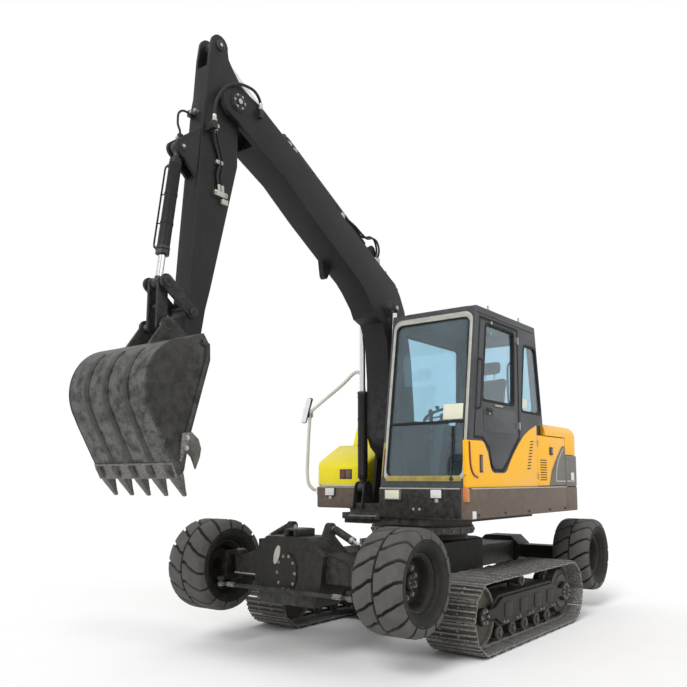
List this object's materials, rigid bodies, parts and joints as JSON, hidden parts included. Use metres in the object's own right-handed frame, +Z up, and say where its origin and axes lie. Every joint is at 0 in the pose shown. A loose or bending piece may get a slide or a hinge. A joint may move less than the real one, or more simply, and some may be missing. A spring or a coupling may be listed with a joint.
{
  "type": "wheel crawler excavator",
  "caption": "Small excavator on crawler tracks with raised road wheels on two axles, a slewing upper body with a left cab, and a boom, stick and bucket.",
  "frame": {"origin": "on the ground, under the centre of the machine's box with the arm at rest", "axes": "+Z up, -Y forwards to the bucket, +X to the machine's left side, where the cab is"},
  "size_m": [2.41, 5.7026, 4.6538],
  "materials": {
    "charcoal_paint": "semi-gloss charcoal paint",
    "bucket_paint": "worn dark paint",
    "cab_paint": "semi-gloss dark grey paint",
    "yellow_paint": "gloss amber-yellow paint",
    "lemon_paint": "gloss lemon-yellow paint",
    "skirt_paint": "satin brown-grey paint",
    "chassis_paint": "matt black paint",
    "track_steel": "dull dark steel",
    "tyre_rubber": "matt black rubber",
    "chrome": "polished chrome",
    "glass": "tinted blue-green safety glass",
    "white_paint": "gloss white paint",
    "seat_fabric": "woven seat cloth",
    "black_plastic": "grained black plastic",
    "engine_iron": "raw cast iron",
    "hose_rubber": "matt black hose rubber"
  },
  "bodies": {
    "undercarriage": {"chassis_frame": "chassis_paint", "slew_ring": "track_steel", "front_axle": "chassis_paint", "rear_axle": "chassis_paint", "left_track_frame": "chassis_paint", "right_track_frame": "chassis_paint", "left_track": "track_steel", "right_track": "track_steel", "left_lift_cylinder": "track_steel", "right_lift_cylinder": "track_steel"},
    "left_knuckle": {"left_knuckle": "chassis_paint"},
    "right_knuckle": {"right_knuckle": "chassis_paint"},
    "tie_rod": {"tie_rod": "track_steel"},
    "front_left_wheel": {"front_left_tyre": "tyre_rubber", "front_left_wheel": "chassis_paint"},
    "front_right_wheel": {"front_right_tyre": "tyre_rubber", "front_right_wheel": "chassis_paint"},
    "rear_left_wheel": {"rear_left_tyre": "tyre_rubber", "rear_left_wheel": "chassis_paint"},
    "rear_right_wheel": {"rear_right_tyre": "tyre_rubber", "rear_right_wheel": "chassis_paint"},
    "upper": {"upper_frame": "chassis_paint", "left_deck": "skirt_paint", "right_deck": "skirt_paint", "counterweight": "cab_paint", "engine": "engine_iron", "engine_bulkhead": "chassis_paint", "left_side_panel": "yellow_paint", "right_toolbox": "lemon_paint", "fuel_tank": "yellow_paint", "cab_shell": "cab_paint", "windscreen": "glass", "rear_window": "glass", "right_window": "glass", "quarter_window": "glass", "seat": "seat_fabric", "steering_column": "black_plastic", "handrail": "white_paint", "mirror": "black_plastic"},
    "cab_door": {"cab_door": "cab_paint", "door_window": "glass"},
    "left_side_door": {"left_side_door": "yellow_paint"},
    "right_side_door": {"right_side_door": "yellow_paint"},
    "engine_hood": {"engine_hood": "yellow_paint"},
    "boom": {"boom": "charcoal_paint", "boom_hose": "hose_rubber"},
    "stick": {"stick": "charcoal_paint", "stick_hose": "hose_rubber"},
    "bucket": {"bucket": "bucket_paint"},
    "rocker": {"rocker": "charcoal_paint"},
    "bucket_link": {"bucket_link": "charcoal_paint"},
    "left_boom_barrel": {"left_boom_cylinder": "charcoal_paint"},
    "left_boom_rod": {"left_boom_rod": "chrome"},
    "right_boom_barrel": {"right_boom_cylinder": "charcoal_paint"},
    "right_boom_rod": {"right_boom_rod": "chrome"},
    "stick_barrel": {"stick_cylinder": "charcoal_paint"},
    "stick_rod": {"stick_rod": "chrome"},
    "bucket_barrel": {"bucket_cylinder": "charcoal_paint"},
    "bucket_rod": {"bucket_rod": "chrome"}
  },
  "joints": [
    {"name": "left_steer", "type": "hinge", "parent": "undercarriage", "child": "left_knuckle", "pos_m": [0.66, -1.12373, 0.655], "axis": [0, 0, 1], "range_deg": [-28, 28]},
    {"name": "right_steer", "type": "hinge", "parent": "undercarriage", "child": "right_knuckle", "pos_m": [-0.66, -1.12373, 0.655], "axis": [0, 0, 1], "range_deg": [-28, 28]},
    {"name": "tie_rod_slide", "type": "slide", "parent": "undercarriage", "child": "tie_rod", "axis": [1, 0, 0], "range_m": [-0.102, 0.102]},
    {"name": "front_left_wheel_spin", "type": "hinge", "parent": "left_knuckle", "child": "front_left_wheel", "pos_m": [0.96, -1.12373, 0.655], "axis": [1, 0, 0], "continuous": true},
    {"name": "front_right_wheel_spin", "type": "hinge", "parent": "right_knuckle", "child": "front_right_wheel", "pos_m": [-0.96, -1.12373, 0.655], "axis": [1, 0, 0], "continuous": true},
    {"name": "rear_left_wheel_spin", "type": "hinge", "parent": "undercarriage", "child": "rear_left_wheel", "pos_m": [0.928, 2.47327, 0.562], "axis": [1, 0, 0], "continuous": true},
    {"name": "rear_right_wheel_spin", "type": "hinge", "parent": "undercarriage", "child": "rear_right_wheel", "pos_m": [-0.928, 2.47327, 0.562], "axis": [1, 0, 0], "continuous": true},
    {"name": "slew", "type": "hinge", "parent": "undercarriage", "child": "upper", "pos_m": [0, 0.68327, 0.975], "axis": [0, 0, 1], "continuous": true},
    {"name": "cab_door_hinge", "type": "hinge", "parent": "upper", "child": "cab_door", "pos_m": [1.009, 0.78827, 2], "axis": [0, 0, 1], "range_deg": [0, 95]},
    {"name": "left_side_door_hinge", "type": "hinge", "parent": "upper", "child": "left_side_door", "pos_m": [1.005, 1.18327, 1.5], "axis": [0, 0, -1], "range_deg": [0, 90]},
    {"name": "right_side_door_hinge", "type": "hinge", "parent": "upper", "child": "right_side_door", "pos_m": [-1.005, 1.14827, 1.5], "axis": [0, 0, 1], "range_deg": [0, 90]},
    {"name": "engine_hood_hinge", "type": "hinge", "parent": "upper", "child": "engine_hood", "pos_m": [0, 1.38327, 1.93], "axis": [1, 0, 0], "range_deg": [0, 55]},
    {"name": "boom_lift", "type": "hinge", "parent": "upper", "child": "boom", "pos_m": [-0.1, 0.38327, 1.6], "axis": [-1, 0, 0], "range_deg": [-75, 15]},
    {"name": "stick_swing", "type": "hinge", "parent": "boom", "child": "stick", "pos_m": [-0.1, -1.91673, 4.17], "axis": [1, 0, 0], "range_deg": [-80, 28], "deforming": ["boom_hose"]},
    {"name": "bucket_tilt", "type": "hinge", "parent": "stick", "child": "bucket", "pos_m": [-0.1, -2.26173, 2.215], "axis": [-1, 0, 0], "range_deg": [-95, 28]},
    {"name": "rocker_swing", "type": "hinge", "parent": "stick", "child": "rocker", "pos_m": [-0.1, -2.26173, 2.509], "axis": [-1, 0, 0], "range_deg": [-95, 28]},
    {"name": "bucket_link_swing", "type": "hinge", "parent": "rocker", "child": "bucket_link", "pos_m": [-0.1, -2.48473, 2.679], "axis": [-1, 0, 0], "range_deg": [-28, 95]},
    {"name": "left_boom_barrel_swing", "type": "hinge", "parent": "upper", "child": "left_boom_barrel", "pos_m": [0.085, 0.07827, 1.29], "axis": [-1, 0, 0], "range_deg": [-70, 14.5]},
    {"name": "left_boom_rod_slide", "type": "slide", "parent": "left_boom_barrel", "child": "left_boom_rod", "axis": [0, -0.003, 1], "range_m": [-0.51, 0.105]},
    {"name": "right_boom_barrel_swing", "type": "hinge", "parent": "upper", "child": "right_boom_barrel", "pos_m": [-0.285, 0.07827, 1.29], "axis": [-1, 0, 0], "range_deg": [-70, 14.5]},
    {"name": "right_boom_rod_slide", "type": "slide", "parent": "right_boom_barrel", "child": "right_boom_rod", "axis": [0, -0.003, 1], "range_m": [-0.51, 0.105]},
    {"name": "stick_barrel_swing", "type": "hinge", "parent": "boom", "child": "stick_barrel", "pos_m": [-0.1, -0.11673, 3.5], "axis": [1, 0, 0], "range_deg": [-5, 2]},
    {"name": "stick_rod_slide", "type": "slide", "parent": "stick_barrel", "child": "stick_rod", "axis": [0, -0.8747, 0.4847], "range_m": [-0.48, 0.17]},
    {"name": "bucket_barrel_swing", "type": "hinge", "parent": "stick", "child": "bucket_barrel", "pos_m": [-0.1, -2.35673, 3.68], "axis": [-1, 0, 0], "range_deg": [-2.5, 1]},
    {"name": "bucket_rod_slide", "type": "slide", "parent": "bucket_barrel", "child": "bucket_rod", "axis": [0, -0.1268, -0.9919], "range_m": [-0.12, 0.4]}
  ],
  "couplings": [
    {"joint": "right_steer", "follows": "left_steer", "ratio": 1},
    {"joint": "tie_rod_slide", "follows": "left_steer", "m_per_rad": 0.2055},
    {"joint": "rocker_swing", "follows": "bucket_tilt", "ratio": 1},
    {"joint": "bucket_link_swing", "follows": "bucket_tilt", "ratio": -1},
    {"joint": "left_boom_barrel_swing", "follows": "boom_lift", "ratio": 0.915},
    {"joint": "right_boom_barrel_swing", "follows": "boom_lift", "ratio": 0.915},
    {"joint": "left_boom_rod_slide", "follows": "boom_lift", "m_per_rad": 0.3875},
    {"joint": "right_boom_rod_slide", "follows": "boom_lift", "m_per_rad": 0.3875},
    {"joint": "stick_barrel_swing", "follows": "stick_swing", "ratio": 0.0525},
    {"joint": "stick_rod_slide", "follows": "stick_swing", "m_per_rad": 0.305},
    {"joint": "bucket_barrel_swing", "follows": "bucket_tilt", "ratio": 0.0125},
    {"joint": "bucket_rod_slide", "follows": "bucket_tilt", "m_per_rad": -0.225}
  ]
}
